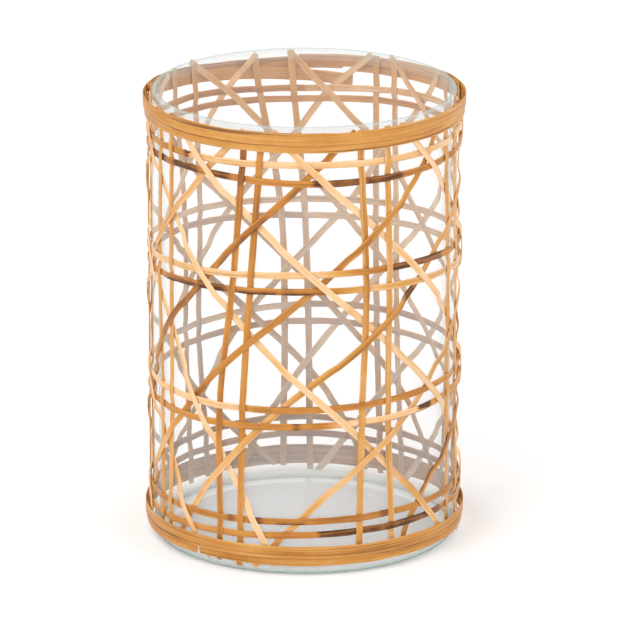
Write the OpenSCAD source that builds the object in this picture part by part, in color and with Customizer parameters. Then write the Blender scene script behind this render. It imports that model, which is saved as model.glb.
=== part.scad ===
// Glass candle cylinder in a sleeve of woven cane.
// A straight glass vessel stands inside an open cane web: nine pairs of upright stakes,
// four pairs of level hoops, nine canes falling to the right, nine canes rising to the right,
// and two overlapping bands of split cane that grip the ends at the top and at the bottom.
// Origin: middle of the base, on the surface it stands on. +Z is up and -Y is the front.

/* [Glass] */
// Outer diameter of the glass
glass_d = 152; // [120:1:200]
// Height of the glass
glass_h = 230; // [180:1:300]
// Thickness of the glass wall
glass_wall = 2.8; // [2:0.1:5]
// Thickness of the glass floor
glass_floor = 7; // [4:0.5:12]
// Radius of the rounded heel at the foot of the wall
heel_r = 2.5; // [1:0.1:4]

/* [Cane] */
// Width of a weaving cane
cane_w = 3.6; // [2.6:0.1:4]
// Thickness of a weaving cane
cane_t = 0.8; // [0.7:0.1:1.3]
// Clear space between two canes that cross
cross_gap = 0.12; // [0.08:0.01:0.25]
// Clear space between the glass and the innermost cane, before its flat facets take up to 0.2
fit_gap = 0.5; // [0.5:0.1:1]

/* [Weave] */
// Height of the middle of the lowest pair of hoops
low_row_z = 25; // [22:1:32]
// Drop from the rim to the middle of the highest pair of hoops
high_row_drop = 22.5; // [21:0.5:30]
// Distance between the two hoops of a pair
hoop_pitch = 8; // [7.5:0.1:10]

/* [Bands] */
// Width of the split cane in the four bands
band_w = 6.6; // [5:0.1:8]
// Thickness of the split cane in the four bands
band_t = 0.5; // [0.4:0.1:1]
// Drop from the rim to the middle of the upper top band
top_band_drop = 5; // [4.5:0.1:8]
// Height of the middle of the upper bottom band
foot_band_z = 12.8; // [11:0.1:15]
// Step down from an upper band to the lower band that it laps over
lap_step = 3.8; // [3:0.1:5]

/* [Hidden] */
glass_r = glass_d / 2;
rim_r = glass_wall / 2;

// Radii of the middle of the canes in the three layers of the web.
layer_step = cane_t + cross_gap;
inner_r = glass_r + fit_gap + cane_t / 2;
middle_r = inner_r + layer_step;
outer_r = middle_r + layer_step;
// A stake and a hoop share the middle layer and pass each other half a step in and out.
half_step = layer_step / 2;
// The lower bands lie on the web, and the upper bands lap over them.
lower_band_r = outer_r + cane_t / 2 + cross_gap + band_t / 2;
upper_band_r = lower_band_r + band_t + cross_gap;

// Levels that the slanting canes are set out on, from the top band to the foot band:
// band, row, space, row, space, row, space, row, band.
ROWS = 4;
high_row_z = glass_h - high_row_drop;
row_rise = (high_row_z - low_row_z) / (ROWS - 1);
top_band_z = glass_h - top_band_drop;
low_band_z = foot_band_z - lap_step;
row_and_space_z = [for (i = [0 : 2 * ROWS - 2]) high_row_z - i * row_rise / 2];
level_z = concat([top_band_z], row_and_space_z, [low_band_z]);

// Half the length over which a cane lies flat where it crosses another, and the ramp beside it.
flat_spare = 0.3;
flat_half = cane_w / 2 + flat_spare;
ramp = 2.6;
flat_deg = flat_half / middle_r * 180 / PI;
ramp_deg = ramp / middle_r * 180 / PI;

// Nine pairs of stakes. Half the angle that a pair usually covers, in degrees.
PAIRS = 9;
pair_half_deg = 5;
// How sharply a slanting cane changes layer between a pair of stakes and a row of hoops.
layer_gain = 7;
// Angles of the stakes in degrees, left and right of each pair, at the four rows from the top.
// The angle is 0 at the front and grows to the right.
stake_left = [
    [-65, -67, -65, -65],
    [-23, -27, -32.5, -32.5],
    [21, 23, 21.5, 20.5],
    [63.5, 66, 66, 66],
    [104, 102, 103, 105],
    [144, 143, 142.5, 140.5],
    [184, 180, 178.5, 178],
    [225, 223, 224, 220.5],
    [260, 261, 261, 260]];
stake_right = [
    [-57, -57.5, -57.5, -59],
    [-16.5, -20, -23, -24],
    [31.5, 32.5, 32, 33.5],
    [71.5, 74.5, 75, 76],
    [114, 111, 112, 115],
    [152, 152, 151.5, 150],
    [197, 189, 187.5, 188],
    [236, 231, 231, 229],
    [270, 270, 271, 271]];

// Angles of the slanting canes at the nine levels from the top.
falling = [
    [-86, -75, -56, -37, -15, 9, 31, 51, 61],
    [-50, -39, -15, 9, 33, 55, 75, 92, 99],
    [-9, 4, 27, 49, 70, 89, 108, 127, 135],
    [39, 51, 71, 90, 108, 126, 145, 162, 171],
    [80, 92, 111, 129, 148, 166, 183, 197, 203],
    [121, 131, 149, 164, 184, 204, 221, 237, 244],
    [156, 171, 188, 209, 228, 247, 265, 279, 285],
    [200, 212, 229, 245, 263, 280, 299, 311, 320],
    [243, 251, 267, 284, 303, 316, 330, 342, 348]];
rising = [
    [292, 281, 265, 245, 221, 198, 177, 162, 157],
    [336, 323, 304, 284, 264, 243, 226, 206, 193],
    [16, 3, -20, -41, -61, -75, -96, -114, -123],
    [58, 51, 28, 3, -23, -45, -63, -79, -84],
    [103, 92, 71, 47, 20, -9, -30, -47, -54],
    [144, 130, 110, 90, 70, 48, 20, -4, -15],
    [184, 171, 149, 130, 109, 89, 65, 44, 38],
    [224, 208, 187, 167, 147, 124, 106, 88, 80],
    [259, 247, 229, 207, 186, 165, 143, 126, 119]];

// Height that each hoop wanders above or below its place, at eight even angles from the front.
wander = [
    [0, -0.5, 1, -0.5, -3.5, -1.5, -1.5, -1],
    [-1.5, -1, 1, 1.5, -1, 0, -1, 0.5],
    [5, 5, 2.5, 0.5, -1.5, -0.5, -0.5, 2],
    [4.5, 3.5, 1, -1, -2, 0, -0.5, 2.5],
    [-3.5, -1.5, 1, 3.5, 3, -0.5, -3, -4.5],
    [-4, -2.5, 1, 1.5, 2, -1, -5, -6],
    [-0.5, 0.5, 1, -0.5, 3, 0.5, -2, -2],
    [0.5, 1.5, 1.5, 0, 2, -0.5, -3, -2]];
// Angle at which the ends of each hoop meet, and half the gap between them, in degrees.
hoop_join = [-47, 91, -84, 206, -12, 165, 247, 88];
butt_deg = 0.2;

// Numbers of stations along the canes, and of sides round the glass and its rounded edges.
GLASS_SIDES = 180;
EDGE_SIDES = 48;
ROW_STATIONS = 7;
// A slanting cane is set out in fine steps. A step is kept if it is one of every few, which follows
// the curve of the glass, or if the cane bends there by more than corner_bend of a layer.
FINE_STEPS = 180;
CURVE_STEP = 6;
corner_bend = 0.1;
BAND_STATIONS = 88;
TIP_STATIONS = 3;
SPACE_STATIONS = 4;

// How far the tips of the canes stand past the middle of the bands, in turn around the drum.
top_tip = [2.4, 1.8, 3, 2.2, 3.2, 2.6, 3.4, 2.8, 3];
foot_tip = [2.6, 4.4, 3.4, 4.6, 3, 4.8, 5.8, 3.6, 2.4];

// Bands: how far the cane turns, the angle it starts at, the height and radius of its place, and
// its rise above that height at evenly spaced points from start to end.
band_turn = [376, 359, 372, 359];
band_start = [166, 162, -214, -41];
band_place = [top_band_z, top_band_z - lap_step, foot_band_z, low_band_z];
band_radius = [upper_band_r, lower_band_r, upper_band_r, lower_band_r];
band_rise = [
    [-3.8, -4, -1, 0.3, 0.2, 0, 0.3, 0, -1.8, -2.8],
    [-8.5, -4.3, -0.8, 0, 0, 0, 0, 0, -0.4, -0.8],
    [0.3, -0.2, 0, 0.2, -0.2, 0.2],
    [0, 0, 0.2, 0, -0.2, -0.4]];
// A band that turns more than once starts outside its own end, stays out this far round, and then
// steps in over the ramp.
lap_deg = 18;
lap_ramp_deg = 12;

ROW_PART = ["a", "b"];
BAND_NAMES = ["top_band_upper", "top_band_lower", "foot_band_upper", "foot_band_lower"];
STAKE_NAMES = [for (p = [1 : PAIRS], s = ROW_PART) str("stake_", p, s)];
HOOP_NAMES = [for (r = [1 : ROWS], s = ROW_PART) str("hoop_", r, s)];
FALLING_NAMES = [for (k = [1 : PAIRS]) str("falling_cane_", k)];
RISING_NAMES = [for (k = [1 : PAIRS]) str("rising_cane_", k)];

// Smooth curve through evenly spaced values, at position t counted in steps.
function smooth(a, b, c, d, u) =
    b + u * (c - a) / 2 + u * u * (a - 2.5 * b + 2 * c - d / 2) + u * u * u * ((b - c) * 1.5 + (d - a) / 2);
function along(v, t) =
    let (n = len(v), i = max(0, min(n - 2, floor(t))))
    let (first = i > 0 ? v[i - 1] : 2 * v[0] - v[1])
    let (last = i < n - 2 ? v[i + 2] : 2 * v[n - 1] - v[n - 2])
    smooth(first, v[i], v[i + 1], last, t - i);
// The same for values that go round in a ring.
function around(v, t) =
    let (n = len(v), i = floor(t))
    smooth(v[(i + 2 * n - 1) % n], v[(i + 2 * n) % n], v[(i + 2 * n + 1) % n], v[(i + 2 * n + 2) % n], t - i);

// Heights of the two tips of a cane, taken in turn from the lists above.
function tip_z(p) = top_band_z + top_tip[p % PAIRS];
function toe_z(p) = low_band_z - foot_tip[p % PAIRS];

// Height of hoop h (0 to 7 from the top) at an angle.
function hoop_z(h, angle) =
    high_row_z - floor(h / 2) * row_rise + (h % 2 == 0 ? 0.5 : -0.5) * hoop_pitch
    + around(wander[h], (angle + 360) * len(wander[h]) / 360);
// Angle of a stake at a height, from its angles at the four rows.
function stake_angle(v, z) = along(v, (high_row_z - z) / row_rise);
// Height of the middle of row r at an angle.
function row_z(r, angle) = (hoop_z(2 * r, angle) + hoop_z(2 * r + 1, angle)) / 2;
// Middle of a pair of stakes at a height, and half the angle it covers there.
function pair_angle(p, z) = (stake_angle(stake_left[p], z) + stake_angle(stake_right[p], z)) / 2;
function pair_spread(p, z) = (stake_angle(stake_right[p], z) - stake_angle(stake_left[p], z)) / 2;
// Smallest turn between two angles. Two and a half turns are added to keep the remainder positive.
function turn_between(a, b) = abs((a - b + 900) % 360 - 180);

// Where a slanting cane lies among the layers: 1 beside a pair of stakes, -1 beside a pair of hoops.
function web_side(angle, z) =
    let (rows = [for (r = [0 : ROWS - 1]) abs(z - row_z(r, angle)) - hoop_pitch / 2])
    let (pairs = [for (p = [0 : PAIRS - 1]) turn_between(angle, pair_angle(p, z)) - pair_spread(p, z)])
    let (to_row = max(0, min(rows)) / (row_rise / 2 - hoop_pitch / 2))
    let (to_pair = max(0, min(pairs)) / (180 / PAIRS - pair_half_deg))
    max(-1, min(1, layer_gain * (min(1, to_row) - min(1, to_pair))));

function unit(v) = v / norm(v);
function outward(angle) = [sin(angle), -cos(angle), 0];
// A station is [radius, angle, height].
function spot(s) = s[0] * outward(s[1]) + [0, 0, s[2]];

// A flat cane along a list of stations, with its thickness pointing away from the glass.
module cane(stations, width, thick) {
    last = len(stations) - 1;
    spots = [for (s = stations) spot(s)];
    corners = [for (i = [0 : last])
        let (out = outward(stations[i][1]))
        let (run = unit(spots[min(i + 1, last)] - spots[max(i - 1, 0)]))
        let (side = unit(cross(run, out)) * width / 2, rise = unit(cross(side, run)) * thick / 2)
        each [for (k = [[1, 1], [-1, 1], [-1, -1], [1, -1]]) spots[i] + k[0] * side + k[1] * rise]];
    walls = [for (i = [0 : last - 1], k = [0 : 3])
        let (a = 4 * i + k, b = 4 * i + (k + 1) % 4)
        each [[a, b, a + 4], [b, b + 4, a + 4]]];
    first_end = [[0, 2, 1], [0, 3, 2]];
    last_end = [for (face = [[0, 1, 2], [0, 2, 3]]) [for (k = face) 4 * last + k]];
    polyhedron(points = corners, faces = concat(walls, first_end, last_end), convexity = 10);
}

module glass_vessel() {
    color([0.78, 0.9, 0.88, 0.5])
    rotate_extrude($fn = GLASS_SIDES) {
        // Wall with a rounded rim.
        translate([glass_r - glass_wall, glass_floor])
            square([glass_wall, glass_h - rim_r - glass_floor]);
        translate([glass_r - rim_r, glass_h - rim_r])
            circle(r = rim_r, $fn = EDGE_SIDES);
        // Floor with a rounded heel.
        square([glass_r - heel_r, glass_floor]);
        translate([glass_r - heel_r, heel_r])
            square([heel_r, glass_floor - heel_r]);
        translate([glass_r - heel_r, heel_r])
            circle(r = heel_r, $fn = EDGE_SIDES);
    }
}

// Upright cane: it steps in behind one hoop of each row and out in front of the other.
module stake(v, first_side, top_z, foot_z) {
    rows = [for (r = [0 : ROWS - 1])
        let (a = v[r])
        let (up = hoop_z(2 * r, a), low = hoop_z(2 * r + 1, a), dip = first_side * half_step)
        each [[0, up + flat_half + ramp], [dip, up + flat_half], [dip, up - flat_half], [0, (up + low) / 2],
            [-dip, low + flat_half], [-dip, low - flat_half], [0, low - flat_half - ramp]]];
    spans = [for (r = [0 : ROWS - 2])
        let (from = rows[ROW_STATIONS * (r + 1) - 1][1], to = rows[ROW_STATIONS * (r + 1)][1])
        [for (i = [1 : SPACE_STATIONS]) [0, from + (to - from) * i / (SPACE_STATIONS + 1)]]];
    top_from = rows[0][1];
    foot_from = rows[ROW_STATIONS * ROWS - 1][1];
    marks = concat(
        [for (i = [0 : TIP_STATIONS - 1]) [0, top_z + (top_from - top_z) * i / TIP_STATIONS]],
        [for (r = [0 : ROWS - 1])
            let (row = [for (i = [0 : ROW_STATIONS - 1]) rows[ROW_STATIONS * r + i]])
            each concat(row, r < ROWS - 1 ? spans[r] : [])],
        [for (i = [1 : TIP_STATIONS]) [0, foot_from + (foot_z - foot_from) * i / TIP_STATIONS]]);
    color([0.85, 0.64, 0.38])
    cane([for (m = marks) [middle_r + m[0], stake_angle(v, m[1]), m[1]]], cane_w, cane_t);
}

// Level cane, out over one stake of each pair and in behind the other, with its ends butted.
module hoop(h) {
    side = h % 2 == 0 ? half_step : -half_step;
    place = high_row_z - floor(h / 2) * row_rise;
    marks = [for (p = [0 : PAIRS - 1])
        let (a = stake_angle(stake_left[p], place), b = stake_angle(stake_right[p], place))
        let (turns = p < PAIRS - 1 ? 0 : 360)
        let (next = stake_angle(stake_left[(p + 1) % PAIRS], place) + turns)
        let (from = b + flat_deg + ramp_deg, to = next - flat_deg - ramp_deg)
        each concat(
            [[a - flat_deg - ramp_deg, 0], [a - flat_deg, side], [a + flat_deg, side], [(a + b) / 2, 0],
            [b - flat_deg, -side], [b + flat_deg, -side], [from, 0]],
            [for (i = [1 : SPACE_STATIONS]) [from + (to - from) * i / (SPACE_STATIONS + 1), 0]])];
    // Turn the ring of stations so that it starts and ends at the join.
    join = hoop_join[h];
    turned = [for (k = [-1 : 1], m = marks)
        let (angle = m[0] + 360 * k)
        if (angle > join + butt_deg && angle < join + 360 - butt_deg) [angle, m[1]]];
    ring = concat([[join + butt_deg, 0]], turned, [[join + 360 - butt_deg, 0]]);
    color([0.8, 0.52, 0.24])
    cane([for (m = ring) [middle_r + m[1], m[0], hoop_z(h, m[0])]], cane_w, cane_t);
}

// Slanting cane: inner or outer layer as the web asks, with its angle set out on the levels.
module slanting_cane(v, lean, top_z, foot_z) {
    fine = [for (i = [0 : FINE_STEPS])
        let (z = top_z + (foot_z - top_z) * i / FINE_STEPS, angle = slant_angle(v, z))
        [web_side(angle, z), angle, z]];
    color(lean > 0 ? [0.86, 0.58, 0.28] : [0.93, 0.77, 0.56])
    cane([for (i = [0 : FINE_STEPS])
        let (before = fine[max(i - 1, 0)][0], after = fine[min(i + 1, FINE_STEPS)][0])
        if (i % CURVE_STEP == 0 || abs(before - 2 * fine[i][0] + after) > corner_bend)
        [middle_r + lean * layer_step * fine[i][0], fine[i][1], fine[i][2]]], cane_w, cane_t);
}
// Position of a height among the levels, counted in steps.
function level_step(z, i = 0) =
    i >= len(level_z) - 2 || z > level_z[i + 1] ? i + (level_z[i] - z) / (level_z[i] - level_z[i + 1])
    : level_step(z, i + 1);
function slant_angle(v, z) = along(v, level_step(z));

// Split-cane band that turns round the outside of the web, its start lapping over its own end.
module band(k) {
    lap = band_turn[k] > 360 ? band_t + cross_gap : 0;
    color([0.87, 0.67, 0.4])
    cane([for (i = [0 : BAND_STATIONS])
        let (t = i / BAND_STATIONS)
        let (rise = along(band_rise[k], (len(band_rise[k]) - 1) * t))
        let (turned = band_turn[k] * t)
        let (out = max(0, min(1, 1 + (lap_deg - turned) / lap_ramp_deg)))
        [band_radius[k] + out * lap, band_start[k] + turned, band_place[k] + rise]],
        band_w, band_t);
}

glass_vessel();
for (k = [0 : len(BAND_NAMES) - 1])
    band(k);
for (p = [0 : PAIRS - 1]) {
    stake(stake_left[p], -1, tip_z(p), toe_z(p));
    stake(stake_right[p], 1, tip_z(p + 4), toe_z(p + 5));
    slanting_cane(falling[p], -1, tip_z(p + 2), toe_z(p + 3));
    slanting_cane(rising[p], 1, tip_z(p + 6), toe_z(p + 7));
}
for (h = [0 : 2 * ROWS - 1])
    hoop(h);
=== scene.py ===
import math
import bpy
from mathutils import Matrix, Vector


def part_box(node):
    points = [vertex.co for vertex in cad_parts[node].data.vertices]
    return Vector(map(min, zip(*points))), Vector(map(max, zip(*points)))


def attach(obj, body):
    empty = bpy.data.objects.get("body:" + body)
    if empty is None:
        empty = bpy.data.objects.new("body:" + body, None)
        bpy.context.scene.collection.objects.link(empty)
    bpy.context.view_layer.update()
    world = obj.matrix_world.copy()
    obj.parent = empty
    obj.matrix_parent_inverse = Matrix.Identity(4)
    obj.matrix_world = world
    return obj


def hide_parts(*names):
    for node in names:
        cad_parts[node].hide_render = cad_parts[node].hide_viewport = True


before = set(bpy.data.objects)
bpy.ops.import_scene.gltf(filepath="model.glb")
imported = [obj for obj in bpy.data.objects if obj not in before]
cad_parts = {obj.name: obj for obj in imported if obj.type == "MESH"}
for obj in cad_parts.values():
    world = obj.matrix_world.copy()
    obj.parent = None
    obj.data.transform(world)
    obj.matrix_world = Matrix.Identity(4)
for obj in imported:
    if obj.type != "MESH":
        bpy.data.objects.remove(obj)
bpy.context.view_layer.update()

import zlib

import bpy
import numpy as np
from mathutils import Vector

bl_info = {
    "name": "Woven cane candle cylinder",
    "version": (1, 0, 0),
    "blender": (4, 5, 0),
    "location": "3D View > Sidebar > Cane",
    "description": "Builds a clear glass cylinder and its sleeve of woven cane",
    "category": "Object",
}

MM = 0.001
SLEEVE_BODY = "sleeve"
GLASS_BODY = "glass"
GLASS_NODE = "glass_vessel"
GLASS_LOW, GLASS_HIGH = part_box(GLASS_NODE)

# Tone along a cane: 0 is pale cream, 0.5 tan and 1 deep amber. Each stop is a place and a tone.
# A place is an angle in degrees round a hoop or a band, and a height in millimetres on the others.
TONES = {
    "top_band_upper": [(0, 0.62)],
    "top_band_lower": [(0, 0.6)],
    "foot_band_upper": [(0, 0.62)],
    "foot_band_lower": [(0, 0.64)],
    "hoop_1a": [(-60, 0.8), (-48, 0.75), (-46, 0.15), (90, 0.2), (200, 0.35)],
    "hoop_1b": [(-90, 0.8), (90, 0.8), (200, 0.5)],
    "hoop_2a": [(-80, 0.15), (5, 0.2), (20, 0.75), (60, 0.85), (150, 0.4)],
    "hoop_2b": [(-80, 0.75), (12, 0.8), (25, 0.35), (80, 0.3)],
    "hoop_3a": [(-50, 0.15), (-24, 0.15), (-18, 0.75), (80, 0.8)],
    "hoop_3b": [(-60, 0.75), (8, 0.8), (14, 0.15), (44, 0.2), (60, 0.6)],
    "hoop_4a": [(-60, 0.8), (60, 0.8)],
    "hoop_4b": [(-60, 0.65), (0, 0.75), (60, 0.85)],
    "rising_cane_2": [(40, 0.3), (200, 0.35)],
    "rising_cane_3": [(60, 0.7), (110, 0.85), (145, 0.75), (200, 0.7)],
    "rising_cane_4": [(60, 0.45), (90, 0.75), (144, 0.7), (200, 0.65)],
    "rising_cane_5": [(30, 0.3), (80, 0.35), (115, 0.7), (141, 0.65), (200, 0.4)],
    "rising_cane_6": [(40, 0.35), (200, 0.3)],
    "rising_cane_7": [(30, 0.7), (90, 0.75), (130, 0.5), (200, 0.4)],
    "falling_cane_1": [(25, 0.3), (40, 0.45), (60, 0.1), (200, 0.1)],
    "stake_2a": [(20, 0.75), (170, 0.8), (205, 0.9)],
    "stake_2b": [(20, 0.7), (200, 0.75)],
}
# Tone of the canes that have no stops of their own, by the start of their name.
PLAIN_TONES = {"stake": 0.52, "hoop": 0.6, "falling": 0.12, "rising": 0.42}

# Scorched stretches: from, to, how dark from 0 to 1, and the side of the cane that is darkest,
# from -1 at one edge to 1 at the other, with 0 for the whole width.
SCORCHES = {
    "hoop_1a": [(-49, -46, 0.9, 0)],
    "hoop_1b": [(-80, -60, 0.85, 0), (-55, -42, 0.9, 0), (-35, -28, 0.8, 0), (3, 8, 0.8, 0),
                (10, 20, 0.7, 0), (23, 38, 0.85, 0)],
    "hoop_2a": [(33, 60, 0.7, 0)],
    "hoop_2b": [(-60, -44, 0.4, 0), (-42, -30, 0.95, 0), (-25, -10, 0.8, 1), (-8, 8, 0.45, 0)],
    "hoop_3a": [(-24, -21, 0.9, 0)],
    "hoop_3b": [(-4, -2, 0.7, 0), (46, 53, 0.85, 0)],
    "hoop_4a": [(-29, -27, 0.8, 0), (-20, -16, 0.85, 0), (-10, 0, 0.7, 1), (29, 32, 0.8, 0)],
    "hoop_4b": [(5, 30, 0.7, 0), (30, 60, 0.85, 0)],
    "rising_cane_3": [(157, 201, 0.7, 1), (112, 145, 0.35, 0)],
    "rising_cane_4": [(150, 156, 0.6, 1), (168, 173, 0.6, 1), (186, 190, 0.6, 1)],
    "rising_cane_5": [(138, 144, 0.85, 0)],
    "rising_cane_7": [(34, 66, 0.6, 1)],
    "stake_2a": [(200, 216, 0.45, 0)],
}


def unit(vectors):
    """Each row divided by its length."""
    return vectors / np.linalg.norm(vectors, axis=-1, keepdims=True)


def seed_of(name):
    """A whole number that is always the same for the same name."""
    return zlib.crc32(name.encode())


def ring_middles(node):
    """Middle, width and thickness of each ring of four corners along a CAD cane, from end to end.

    Corners that share a place are merged. Inside the strip six triangles meet at a corner and at
    its ends fewer do, and the end corner with five touches the other three of its ring. The number
    of edges from that first ring is then the same for the four corners of any other ring.
    """
    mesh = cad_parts[node].data
    mesh.calc_loop_triangles()
    places = np.empty(len(mesh.vertices) * 3)
    mesh.vertices.foreach_get("co", places)
    triangles = np.empty(len(mesh.loop_triangles) * 3, np.int64)
    mesh.loop_triangles.foreach_get("vertices", triangles)
    tenth_micron = 1e-7
    keys, label = np.unique(
        np.round(places.reshape(-1, 3) / tenth_micron).astype(np.int64), axis=0, return_inverse=True)
    corners = keys * tenth_micron
    triangles = label.reshape(-1)[triangles].reshape(-1, 3)
    edges = np.concatenate([triangles[:, [0, 1]], triangles[:, [1, 2]], triangles[:, [2, 0]]])
    edges = np.concatenate([edges, edges[:, ::-1]])
    meeting = np.bincount(triangles.reshape(-1), minlength=len(corners))
    is_end = meeting < 6
    hub = np.flatnonzero(meeting == 5)[0]
    beside_hub = edges[edges[:, 0] == hub, 1]
    first = np.append(beside_hub[is_end[beside_hub]], hub)
    steps = np.full(len(corners), len(corners))
    steps[first] = 0
    for _ in range(len(corners) // 4):
        np.minimum.at(steps, edges[:, 1], steps[edges[:, 0]] + 1)
    if not np.array_equal(np.bincount(steps), np.full(len(corners) // 4, 4)):
        raise RuntimeError(f"{node} isn't a strip of rings of four corners")
    rings = corners[np.argsort(steps, kind="stable")].reshape(-1, 4, 3)
    sides = np.sort(np.linalg.norm(rings[:, 1:] - rings[:, :1], axis=2), axis=1)
    return rings.mean(axis=1), sides[:, 1].mean(), sides[:, 0].mean()


def fine_path(middles, step, soften):
    """Even stations along a cane's middles, as angle, radius, height and distance from its start.

    The middles are taken as angle, radius and height round the glass, spaced evenly by distance
    along the cane, and averaged with a bell-shaped weight so that the bends are soft.
    """
    radius = np.hypot(middles[:, 0], middles[:, 1])
    angle = np.unwrap(np.arctan2(middles[:, 0], -middles[:, 1]))
    distance = np.append(0.0, np.cumsum(np.linalg.norm(np.diff(middles, axis=0), axis=1)))
    count = int(distance[-1] / step) + 1
    even = np.linspace(0.0, distance[-1], count)
    reach = int(3 * soften / step)
    weight = np.exp(-0.5 * (np.arange(-reach, reach + 1) * step / soften) ** 2)
    weight /= weight.sum()
    columns = []
    for values in (angle, radius, middles[:, 2]):
        line = np.interp(even, distance, values)
        before = 2 * line[0] - line[reach:0:-1]
        after = 2 * line[-1] - line[-2:-reach - 2:-1]
        columns.append(np.convolve(np.concatenate([before, line, after]), weight, "valid"))
    return columns[0], columns[1], columns[2], even


def wave(distance, length, random):
    """A smooth wander between about -1 and 1: three sines of unlike length with random starts."""
    starts = random.uniform(0, 2 * np.pi, 3)
    parts = [np.sin(2 * np.pi * distance / (length * share) + start)
             for share, start in zip((1.0, 0.53, 0.31), starts)]
    return sum(parts) / 2


def stops_along(stops, place):
    """Tone at each place, straight between the stops and level past them."""
    places, tones = zip(*sorted(stops))
    return np.interp(place, places, tones)


def strip_surface(name, settings):
    """Grid of points and per-point values of a flat cane, from its CAD node's middles.

    Point = middle + across x width x side + up x thickness x out. Across and up run round a rounded
    oblong, cos and sin raised to powers below one, crowned on the outer side. Side is square to the
    run of the cane and to out, which points away from the glass. Width and roll wander a little,
    grooves run along the outer side, and each end is cut at its own slant.
    """
    random = np.random.default_rng(seed_of(name))
    middles, width, thickness = ring_middles(name)
    step = settings.station_step
    angle, radius, height, distance = fine_path(middles, step, settings.bend_softness)
    out = np.stack([np.sin(angle), -np.cos(angle), np.zeros_like(angle)], axis=1)
    middle = out * radius[:, None]
    middle[:, 2] = height
    run = unit(np.gradient(middle, axis=0))
    side = unit(np.cross(run, out))
    rise = unit(np.cross(side, run))
    rise *= np.sign((rise * out).sum(axis=1))[:, None]
    roll = math.radians(settings.roll) * wave(distance, 0.09, random)
    side, rise = (side * np.cos(roll)[:, None] + rise * np.sin(roll)[:, None],
                  rise * np.cos(roll)[:, None] - side * np.sin(roll)[:, None])

    turn = np.linspace(0.0, 2 * np.pi, settings.profile_points, endpoint=False)
    side_squareness, face_squareness = 0.42, 0.62
    across = np.sign(np.cos(turn)) * np.abs(np.cos(turn)) ** side_squareness
    up = np.sign(np.sin(turn)) * np.abs(np.sin(turn)) ** face_squareness
    up = np.where(up > 0, up * (1 - settings.crown * across ** 2), up)

    wide = width * (1 - settings.width_wander * (0.5 + 0.5 * wave(distance, 0.06, random)))
    coarse_groove, fine_groove, groove_sway = 9.0, 15.0, 2.5
    grooves = [np.sin(across[None, :] * turns + groove_sway * wave(distance, 0.2, random)[:, None])
               for turns in (coarse_groove, fine_groove)]
    relief = 1 - settings.groove_depth * (0.5 + 0.25 * sum(grooves)) * (up > 0)[None, :]
    slants = random.uniform(-settings.end_slant, settings.end_slant, 2)
    to_end = distance[-1] - distance
    slant_reach, taper_reach, taper_share = 1.5 * MM, 0.5 * MM, 0.12
    lean = slants[0] * np.exp(-distance / slant_reach) + slants[1] * np.exp(-to_end / slant_reach)
    taper = 1 - taper_share * np.exp(-distance / taper_reach) - taper_share * np.exp(-to_end / taper_reach)

    x = across[None, :] * (wide / 2 * taper)[:, None]
    y = up[None, :] * relief * thickness / 2 * taper[:, None]
    points = (middle[:, None, :] + x[..., None] * side[:, None, :] + y[..., None] * rise[:, None, :]
              + (x * lean[:, None])[..., None] * run[:, None, :])

    is_ring = name.startswith("hoop") or "band" in name
    degrees = np.degrees(angle)
    place = (degrees + 180) % 360 - 180 if is_ring else height / MM
    kind = name.split("_")[0]
    stops = TONES.get(name, [(0, PLAIN_TONES.get(kind, 0.5))])
    own_tone = 0.0 if name in TONES else random.uniform(-0.14, 0.14)
    tone = stops_along(stops, place) + own_tone + 0.07 * wave(distance, 0.11, random)
    scorch = np.zeros_like(x)
    edge = 2.0 if is_ring else 3.0
    for start, stop, dark, where in SCORCHES.get(name, []):
        inside = np.clip((place - start) / edge + 0.5, 0, 1) * np.clip((stop - place) / edge + 0.5, 0, 1)
        share = np.clip(0.3 + where * across, 0, 1) if where else np.ones_like(across)
        scorch = np.maximum(scorch, dark * inside[:, None] * share[None, :])
    values = {
        "strip": np.stack([np.broadcast_to(distance[:, None], x.shape), x,
                           np.full_like(x, random.uniform(0, 10))], axis=2),
        "tone": np.broadcast_to(tone[:, None], x.shape),
        "scorch": scorch,
        "skin": np.broadcast_to((up > 0)[None, :], x.shape).astype(float),
        # edge grows towards the sides of a cane: the material lightens the cane there as a painted
        # highlight, and makes scorches darkest there
        "edge": np.broadcast_to((np.abs(across) ** 4)[None, :], x.shape),
    }
    return points, values


def grid_faces(rings, points):
    """Quads between neighbouring rings of a closed tube, pointing outwards."""
    ring, point = np.meshgrid(np.arange(rings - 1), np.arange(points), indexing="ij")
    here = ring * points + point
    beside = ring * points + (point + 1) % points
    return np.stack([here, here + points, beside + points, beside], axis=-1).reshape(-1, 4)


def mesh_piece(name, points, faces, material, smooth=True):
    """A mesh object at the origin from corner places and lists of corners."""
    mesh = bpy.data.meshes.new(name)
    mesh.from_pydata(points.tolist(), [], faces)
    mesh.validate()
    mesh.update()
    mesh.polygons.foreach_set("use_smooth", np.full(len(mesh.polygons), smooth))
    mesh.materials.append(material)
    piece = bpy.data.objects.new(name, mesh)
    bpy.context.scene.collection.objects.link(piece)
    return piece


def signed_volume(points, faces):
    """Volume inside quads that form a closed shape, below zero if they point inwards."""
    a, b, c, d = (points[faces[:, k]] for k in range(4))
    first = np.einsum("ij,ij->i", a, np.cross(b, c))
    second = np.einsum("ij,ij->i", a, np.cross(c, d))
    return (first + second).sum() / 6


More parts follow.
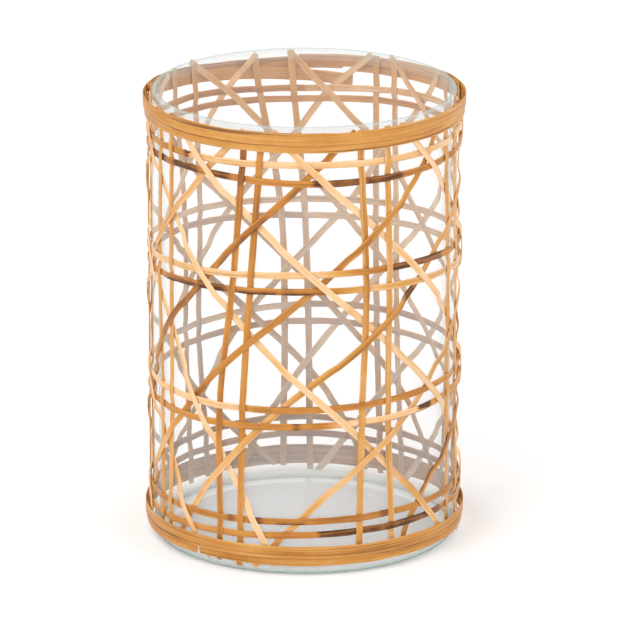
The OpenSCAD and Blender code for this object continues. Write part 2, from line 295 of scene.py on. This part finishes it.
def make_strip(name, material):
    """The cane that stands for a CAD node: a closed tube of rings with a flat cap at each end."""
    settings = bpy.context.scene.cane_strips
    grid, values = strip_surface(name, settings)
    rings, count = grid.shape[:2]
    points = grid.reshape(-1, 3)
    quads = grid_faces(rings, count)
    ring = np.arange(count)
    caps = [ring.tolist(), (ring[::-1] + (rings - 1) * count).tolist()]
    if signed_volume(points, quads) < 0:
        quads = quads[:, ::-1]
        caps = [cap[::-1] for cap in caps]
    piece = mesh_piece(name + "_strip", points, quads.tolist() + caps, material)
    for key, value in values.items():
        is_vector = value.ndim == 3
        layer = piece.data.attributes.new(key, "FLOAT_VECTOR" if is_vector else "FLOAT", "POINT")
        layer.data.foreach_set("vector" if is_vector else "value", np.ascontiguousarray(value).ravel())
    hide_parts(name)
    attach(piece, SLEEVE_BODY)
    return piece


class Signal:
    """A shader socket that can stand in Python sums, differences and products."""

    def __init__(self, graph, socket):
        self.graph = graph
        self.socket = socket

    def maths(self, operation, first, second):
        """A Math node of two values or signals."""
        return self.graph.add("ShaderNodeMath", {"operation": operation}, {0: first, 1: second})

    def __add__(self, other):
        return self.maths("ADD", self, other)

    def __radd__(self, other):
        return self.maths("ADD", other, self)

    def __sub__(self, other):
        return self.maths("SUBTRACT", self, other)

    def __rsub__(self, other):
        return self.maths("SUBTRACT", other, self)

    def __mul__(self, other):
        return self.maths("MULTIPLY", self, other)

    def __rmul__(self, other):
        return self.maths("MULTIPLY", other, self)

    def clipped(self):
        """The signal held between 0 and 1."""
        return self.graph.add("ShaderNodeClamp", {}, {"Value": self})


class Graph:
    """The node tree of one material."""

    def __init__(self, name):
        self.material = bpy.data.materials.new(name)
        self.material.use_nodes = True
        self.nodes = self.material.node_tree.nodes
        self.links = self.material.node_tree.links
        self.nodes.clear()

    def add(self, kind, settings, inputs, output=0):
        """Adds a node: its settings first, then the values or signals of its sockets."""
        node = self.nodes.new(kind)
        for key, value in settings.items():
            if key == "stops":
                self.set_stops(node.color_ramp, value)
            else:
                setattr(node, key, value)
        for key, value in inputs.items():
            if isinstance(value, Signal):
                self.links.new(value.socket, node.inputs[key])
            else:
                node.inputs[key].default_value = value
        return Signal(self, node.outputs[output])

    def set_stops(self, ramp, stops):
        """Puts the places and colours of a colour ramp."""
        while len(ramp.elements) < len(stops):
            ramp.elements.new(1.0)
        for element, (place, colour) in zip(ramp.elements, stops):
            element.position = place
            element.color = (*colour, 1.0)

    def attribute(self, name, output):
        """A value that the mesh carries."""
        return self.add("ShaderNodeAttribute", {"attribute_name": name}, {}, output)

    def stretched(self, vector, scale):
        """A vector times a scale for each axis."""
        return self.add("ShaderNodeVectorMath", {"operation": "MULTIPLY"}, {0: vector, 1: scale})

    def mixed(self, share, first, second, blend="MIX"):
        """Two colours mixed by a share."""
        node = self.nodes.new("ShaderNodeMix")
        node.data_type = "RGBA"
        node.blend_type = blend
        for place, value in ((0, share), (6, first), (7, second)):
            if isinstance(value, Signal):
                self.links.new(value.socket, node.inputs[place])
            else:
                node.inputs[place].default_value = value
        return Signal(self, node.outputs[2])

    def finish(self, surface):
        """Sends a shader to the material's output."""
        output = self.nodes.new("ShaderNodeOutputMaterial")
        self.links.new(surface.socket, output.inputs["Surface"])
        return self.material


def cane_material(name, fibre_scale, gloss, splits):
    """Split cane: pale to amber fibres, dark splits, edges lightened as a painted highlight, scorches and a
    soft gloss.
    """
    colours = bpy.context.scene.cane_colours
    graph = Graph(name)
    strip = graph.attribute("strip", "Vector")
    tone = graph.attribute("tone", "Fac")
    scorch = graph.attribute("scorch", "Fac")
    skin = graph.attribute("skin", "Fac")
    edge = graph.attribute("edge", "Fac")
    fibres = graph.add("ShaderNodeTexNoise", {}, {
        "Vector": graph.stretched(strip, (60.0, fibre_scale, 1.0)), "Scale": 1.0, "Detail": 4.0,
        "Roughness": 0.6})
    streaks = graph.add("ShaderNodeTexNoise", {}, {
        "Vector": graph.stretched(strip, (25.0, 600.0, 1.0)), "Scale": 1.0, "Detail": 3.0})
    clouds = graph.add("ShaderNodeTexNoise", {}, {
        "Vector": graph.stretched(strip, (180.0, 250.0, 1.0)), "Scale": 1.0, "Detail": 4.0})
    lines = graph.add("ShaderNodeTexNoise", {}, {
        "Vector": graph.stretched(strip, (9.0, 1100.0, 1.0)), "Scale": 1.0, "Detail": 2.0})
    # Painted highlight: the edge term lightens each cane towards its sides, standing in for light on the
    # rounded edges
    shade = (tone + (fibres - 0.5) * 0.45 + (streaks - 0.5) * 0.7 + (clouds - 0.5) * 0.25
             + scorch * 0.45 - edge * 0.16).clipped()
    stops = [(0.0, colours.pale), (0.4, colours.tan), (0.75, colours.amber), (1.0, colours.brown)]
    colour = graph.add("ShaderNodeValToRGB", {"stops": stops}, {"Fac": shade})
    colour = graph.mixed(((0.45 - lines) * 9.0).clipped() * splits, colour, (*colours.split, 1.0))
    patchy = (clouds - 0.5) * 1.2 + (streaks - 0.5) * 3.2
    burnt = ((scorch * 0.9 + patchy + edge * 0.4 - 0.62) * 2.6).clipped()
    burnt = burnt * (scorch * 8.0).clipped()
    colour = graph.mixed(burnt, colour, (*colours.scorch, 1.0))
    rough = (0.62 - skin * gloss + (streaks - 0.5) * 0.25).clipped()
    bump = graph.add("ShaderNodeBump", {}, {
        "Height": fibres * 0.7 + streaks * 0.3, "Strength": 0.35, "Distance": 0.0002}, "Normal")
    shader = graph.add("ShaderNodeBsdfPrincipled", {}, {
        "Base Color": colour, "Roughness": rough, "Normal": bump, "Specular IOR Level": 0.25,
        "Coat Roughness": 0.3, "Coat Weight": skin * 0.06})
    return graph.finish(shader)


def glass_material():
    """Clear glass: a faint white veil that thickens at a slant, and grey-green where the glass is deep."""
    graph = Graph("clear_glass")
    deep = graph.attribute("deep", "Fac")
    least, most, sharpness = 0.085, 0.6, 5.0
    slant = graph.add("ShaderNodeLayerWeight", {}, {"Blend": 0.5}, "Facing")
    sharp = slant.maths("POWER", slant, sharpness)
    veil = sharp * most + least + deep * 0.55
    side_line = sharp * 0.9
    colour = graph.mixed((deep + side_line).clipped(), (0.98, 0.975, 0.97, 1.0), (0.2, 0.36, 0.32, 1.0))
    shader = graph.add("ShaderNodeBsdfPrincipled", {}, {
        "Base Color": colour, "Roughness": 0.03, "IOR": 1.5, "Alpha": veil.clipped()})
    return graph.finish(shader)


def glass_depth(points):
    """How deep the glass looks at each point: 1 along the rim and round the heel, and 0 elsewhere."""
    settings = bpy.context.scene.cane_glass
    height = points[:, 2]
    radius = np.hypot(points[:, 0], points[:, 1])
    outer = (GLASS_HIGH.x - GLASS_LOW.x) / 2
    rim = np.clip(1 - (GLASS_HIGH.z - height) / settings.wall, 0, 1)
    heel = np.clip(1 - height / settings.floor, 0, 1) * np.clip(1 - (outer - radius) / settings.floor, 0, 1)
    return np.maximum(rim * 0.6, heel)


def floor_material():
    """Plain pale matt floor."""
    stage = bpy.context.scene.cane_stage
    graph = Graph("pale_floor")
    shader = graph.add("ShaderNodeBsdfPrincipled", {}, {
        "Base Color": (*stage.floor_colour, 1.0), "Roughness": 0.9, "Specular IOR Level": 0.1})
    return graph.finish(shader)


def arc(centre_r, centre_z, radius, start, stop, count):
    """Points on an arc in the plane of radius and height, angles in degrees."""
    turn = np.radians(np.linspace(start, stop, count))
    return np.stack([centre_r + radius * np.cos(turn), centre_z + radius * np.sin(turn)], axis=1)


def glass_profile(settings):
    """Outline of the glass in radius and height, from the middle of its underside to its inner floor.

    A shallow hollow under the foot, a rounded heel, the outer wall, a half-round rim, the inner
    wall, a round inner corner and a floor with faint rings: a cosine of the radius that grows
    towards the edge.
    """
    outer = (GLASS_HIGH.x - GLASS_LOW.x) / 2
    top = GLASS_HIGH.z
    wall = settings.wall
    under = np.linspace(0.0, outer - 4 * settings.heel, 12)
    hollow = settings.hollow * (1 - (under / under[-1]) ** 2) ** 2
    heel = arc(outer - settings.heel, settings.heel, settings.heel, -90, 0, 10)
    rim = arc(outer - wall / 2, top - wall / 2, wall / 2, 0, 180, 14)
    inner_r = outer - wall - settings.corner
    corner = arc(inner_r, settings.floor + settings.corner, settings.corner, 0, -90, 10)
    climb = np.linspace(settings.heel, top - wall / 2, 40)[1:-1]
    outer_wall = np.stack([np.full_like(climb, outer), climb], axis=1)
    descend = np.linspace(top - wall / 2, settings.floor + settings.corner, 40)[1:-1]
    inner_wall = np.stack([np.full_like(descend, outer - wall), descend], axis=1)
    inward = np.linspace(inner_r, 0.0, 60)[1:]
    rings = settings.ripple * (inward / outer) * (1 - np.cos(2 * np.pi * inward / settings.ripple_width)) / 2
    floor = np.stack([inward, settings.floor - rings], axis=1)
    foot = np.stack([under, hollow], axis=1)
    return np.concatenate([foot, heel, outer_wall, rim, inner_wall, corner, floor])


def lathe(profile, sides):
    """A closed turned shape: each point of the outline goes round the axis, with one corner at each pole."""
    turn = np.linspace(0.0, 2 * np.pi, sides, endpoint=False)
    body = profile[1:-1]
    grid = np.stack([body[:, :1] * np.sin(turn), -body[:, :1] * np.cos(turn),
                     np.broadcast_to(body[:, 1:], (len(body), sides))], axis=2)
    points = np.concatenate([grid.reshape(-1, 3), [[0.0, 0.0, profile[0, 1]], [0.0, 0.0, profile[-1, 1]]]])
    quads = grid_faces(len(body), sides)
    low, high = len(points) - 2, len(points) - 1
    here = np.arange(sides)
    beside = (here + 1) % sides
    last = (len(body) - 1) * sides
    fans = np.concatenate([np.stack([np.full(sides, low), here, beside], axis=1),
                           np.stack([np.full(sides, high), beside + last, here + last], axis=1)])
    return points, quads, fans


class CaneStrips(bpy.types.PropertyGroup):
    """Make-up of the woven canes"""
    station_step: bpy.props.FloatProperty(
        name="Station step", description="Distance between rings along a cane", default=0.8 * MM,
        min=0.0003, unit="LENGTH")
    profile_points: bpy.props.IntProperty(
        name="Profile points", description="Corners round a cane", default=22, min=8)
    bend_softness: bpy.props.FloatProperty(
        name="Bend softness", description="How far the bends of a cane are rounded", default=1.3 * MM,
        min=0.0005, unit="LENGTH")
    crown: bpy.props.FloatProperty(
        name="Crown", description="How much lower the edges are than the middle", default=0.28,
        min=0, max=0.8)
    width_wander: bpy.props.FloatProperty(
        name="Width wander", description="Share by which the width falls short in places", default=0.08,
        min=0, max=0.3)
    groove_depth: bpy.props.FloatProperty(
        name="Groove depth", description="Depth of the long grooves as a share of the thickness",
        default=0.16, min=0, max=0.5)
    roll: bpy.props.FloatProperty(
        name="Roll", description="Degrees by which a cane rolls about its length", default=2.0, min=0, max=8)
    end_slant: bpy.props.FloatProperty(
        name="End slant", description="Steepest slant of a cut end", default=0.1, min=0, max=1)


class CaneColours(bpy.types.PropertyGroup):
    """Colours of the cane"""
    pale: bpy.props.FloatVectorProperty(
        name="Pale", description="Inner side of the cane", subtype="COLOR", size=3,
        default=(0.84, 0.55, 0.31))
    tan: bpy.props.FloatVectorProperty(
        name="Tan", description="Usual colour", subtype="COLOR", size=3, default=(0.64, 0.32, 0.085))
    amber: bpy.props.FloatVectorProperty(
        name="Amber", description="Toasted colour", subtype="COLOR", size=3, default=(0.5, 0.2, 0.03))
    brown: bpy.props.FloatVectorProperty(
        name="Brown", description="Darkest toasted colour", subtype="COLOR", size=3,
        default=(0.28, 0.1, 0.022))
    scorch: bpy.props.FloatVectorProperty(
        name="Scorch", description="Scorched marks", subtype="COLOR", size=3, default=(0.09, 0.03, 0.004))
    split: bpy.props.FloatVectorProperty(
        name="Split", description="Fine splits between the fibres", subtype="COLOR", size=3,
        default=(0.16, 0.06, 0.018))


class CaneGlass(bpy.types.PropertyGroup):
    """Sizes of the glass"""
    wall: bpy.props.FloatProperty(
        name="Wall", description="Thickness of the wall", default=2.8 * MM, min=0.001, unit="LENGTH")
    floor: bpy.props.FloatProperty(
        name="Floor", description="Thickness of the floor", default=7 * MM, min=0.002, unit="LENGTH")
    heel: bpy.props.FloatProperty(
        name="Heel", description="Radius of the heel", default=2.5 * MM, min=0.0005, unit="LENGTH")
    corner: bpy.props.FloatProperty(
        name="Inner corner", description="Radius between wall and floor", default=4 * MM, min=0.001,
        unit="LENGTH")
    hollow: bpy.props.FloatProperty(
        name="Hollow", description="Depth of the hollow under the foot", default=0.8 * MM, min=0,
        unit="LENGTH")
    ripple: bpy.props.FloatProperty(
        name="Ripple", description="Depth of the rings on the floor", default=0.3 * MM, min=0, unit="LENGTH")
    ripple_width: bpy.props.FloatProperty(
        name="Ripple width", description="Distance between the rings on the floor", default=9 * MM,
        min=0.002, unit="LENGTH")
    sides: bpy.props.IntProperty(name="Sides", description="Sides round the glass", default=256, min=32)


class CaneStage(bpy.types.PropertyGroup):
    """Floor, light and camera"""
    floor_colour: bpy.props.FloatVectorProperty(
        name="Floor colour", description="Colour of the floor", subtype="COLOR", size=3,
        default=(0.96, 0.96, 0.96))
    floor_size: bpy.props.FloatProperty(
        name="Floor size", description="Side of the floor", default=12.0, min=1, unit="LENGTH")
    sky: bpy.props.FloatProperty(
        name="Sky", description="Strength of the light from all round", default=0.95, min=0)
    key: bpy.props.FloatProperty(
        name="Key light", description="Power of the large light above", default=15.0, min=0)
    lens: bpy.props.FloatProperty(
        name="Lens", description="Focal length in millimetres", default=352.35, min=10)
    camera_back: bpy.props.FloatProperty(
        name="Camera distance", description="How far in front the camera stands", default=3.0, min=0.5,
        unit="LENGTH")
    camera_high: bpy.props.FloatProperty(
        name="Camera height", description="Height of the camera", default=1.0497, min=0, unit="LENGTH")


class CANE_OT_glass(bpy.types.Operator):
    """Turn the clear glass vessel"""
    bl_idname = "cane.glass"
    bl_label = "Glass vessel"

    def execute(self, context):
        settings = context.scene.cane_glass
        points, quads, fans = lathe(glass_profile(settings), settings.sides)
        if signed_volume(points, quads) < 0:
            quads, fans = quads[:, ::-1], fans[:, ::-1]
        piece = mesh_piece("glass_cylinder", points, quads.tolist() + fans.tolist(), glass_material())
        deep = piece.data.attributes.new("deep", "FLOAT", "POINT")
        deep.data.foreach_set("value", glass_depth(points))
        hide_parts(GLASS_NODE)
        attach(piece, GLASS_BODY)
        return {"FINISHED"}


def strips(start, slot, fibre_scale, gloss, splits):
    """Makes every cane whose node starts with a word, in one material."""
    nodes = sorted(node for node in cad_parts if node.startswith(start))
    if not nodes:
        raise RuntimeError(f"the frame has no node that starts with {start}")
    material = cane_material(slot, fibre_scale, gloss, splits)
    for node in nodes:
        make_strip(node, material)


class CANE_OT_bands(bpy.types.Operator):
    """Lay the flat bands round the top and the foot"""
    bl_idname = "cane.bands"
    bl_label = "Bands"

    def execute(self, context):
        material = cane_material("band_cane", 2200.0, 0.2, 0.95)
        for node in ("top_band_lower", "top_band_upper", "foot_band_lower", "foot_band_upper"):
            make_strip(node, material)
        return {"FINISHED"}


class CANE_OT_stakes(bpy.types.Operator):
    """Set the upright stakes"""
    bl_idname = "cane.stakes"
    bl_label = "Stakes"

    def execute(self, context):
        strips("stake_", "stake_cane", 2600.0, 0.2, 0.4)
        return {"FINISHED"}


class CANE_OT_hoops(bpy.types.Operator):
    """Weave in the level hoops"""
    bl_idname = "cane.hoops"
    bl_label = "Hoops"

    def execute(self, context):
        strips("hoop_", "hoop_cane", 2600.0, 0.25, 0.5)
        return {"FINISHED"}


class CANE_OT_falling(bpy.types.Operator):
    """Weave in the canes that fall to the right"""
    bl_idname = "cane.falling"
    bl_label = "Falling canes"

    def execute(self, context):
        strips("falling_cane_", "pale_cane", 2600.0, 0.12, 0.3)
        return {"FINISHED"}


class CANE_OT_rising(bpy.types.Operator):
    """Weave in the canes that rise to the right"""
    bl_idname = "cane.rising"
    bl_label = "Rising canes"

    def execute(self, context):
        strips("rising_cane_", "amber_cane", 2600.0, 0.2, 0.4)
        return {"FINISHED"}


def aimed(thing, place, target):
    """Puts a lamp or camera at a place and turns it to a target."""
    thing.location = place
    thing.rotation_euler = (Vector(target) - Vector(place)).to_track_quat("-Z", "Y").to_euler()
    return thing


def area_light(name, place, target, size, power):
    """A large square soft light."""
    data = bpy.data.lights.new(name, "AREA")
    data.size = size
    data.energy = power
    lamp = aimed(bpy.data.objects.new(name, data), place, target)
    bpy.context.scene.collection.objects.link(lamp)
    return lamp


class CANE_OT_stage(bpy.types.Operator):
    """Set the floor, the soft light and the camera"""
    bl_idname = "cane.stage"
    bl_label = "Stage"

    def execute(self, context):
        scene = context.scene
        stage = scene.cane_stage
        half = stage.floor_size / 2
        corners = np.array([[-half, -half, 0], [half, -half, 0], [half, half, 0], [-half, half, 0]])
        floor = mesh_piece("pale_floor", corners, [[0, 1, 2, 3]], floor_material(), smooth=False)
        world = bpy.data.worlds.new("soft_sky")
        world.use_nodes = True
        sky = world.node_tree.nodes["Background"]
        sky.inputs["Color"].default_value = (1.0, 1.0, 1.0, 1.0)
        sky.inputs["Strength"].default_value = stage.sky
        scene.world = world
        middle = (0.0, 0.0, GLASS_HIGH.z / 2)
        area_light("key_light", (-0.9, -1.1, 1.6), middle, 1.2, stage.key)
        area_light("fill_light", (1.3, -0.8, 0.9), middle, 1.2, stage.key / 3)
        data = bpy.data.cameras.new("camera")
        data.lens = stage.lens
        data.shift_x = 0.0244
        data.shift_y = -0.0191
        camera = bpy.data.objects.new("camera", data)
        aimed(camera, (0.0, -stage.camera_back, stage.camera_high), middle)
        scene.collection.objects.link(camera)
        scene.camera = camera
        scene.view_settings.view_transform = "Standard"
        return {"FINISHED"}


class CANE_PT_sidebar(bpy.types.Panel):
    """Lists the pieces and the stage"""
    bl_idname = "CANE_PT_sidebar"
    bl_label = "Cane cylinder"
    bl_space_type = "VIEW_3D"
    bl_region_type = "UI"
    bl_category = "Cane"

    def draw(self, context):
        layout = self.layout
        for operator in OPERATORS:
            layout.operator(operator.bl_idname)
        for group in (context.scene.cane_strips, context.scene.cane_colours,
                      context.scene.cane_glass, context.scene.cane_stage):
            for key in group.bl_rna.properties.keys():
                if key not in ("rna_type", "name"):
                    layout.prop(group, key)


OPERATORS = (CANE_OT_glass, CANE_OT_bands, CANE_OT_stakes, CANE_OT_hoops, CANE_OT_falling,
             CANE_OT_rising, CANE_OT_stage)
CLASSES = (CaneStrips, CaneColours, CaneGlass, CaneStage) + OPERATORS + (CANE_PT_sidebar,)


def register():
    for item in CLASSES:
        bpy.utils.register_class(item)
    bpy.types.Scene.cane_strips = bpy.props.PointerProperty(type=CaneStrips)
    bpy.types.Scene.cane_colours = bpy.props.PointerProperty(type=CaneColours)
    bpy.types.Scene.cane_glass = bpy.props.PointerProperty(type=CaneGlass)
    bpy.types.Scene.cane_stage = bpy.props.PointerProperty(type=CaneStage)


def unregister():
    for key in ("cane_strips", "cane_colours", "cane_glass", "cane_stage"):
        delattr(bpy.types.Scene, key)
    for item in reversed(CLASSES):
        bpy.utils.unregister_class(item)


def main():
    """Builds the whole object and its stage."""
    register()
    bpy.ops.cane.glass()
    bpy.ops.cane.bands()
    bpy.ops.cane.stakes()
    bpy.ops.cane.hoops()
    bpy.ops.cane.falling()
    bpy.ops.cane.rising()
    bpy.ops.cane.stage()


if __name__ == "__main__":
    main()
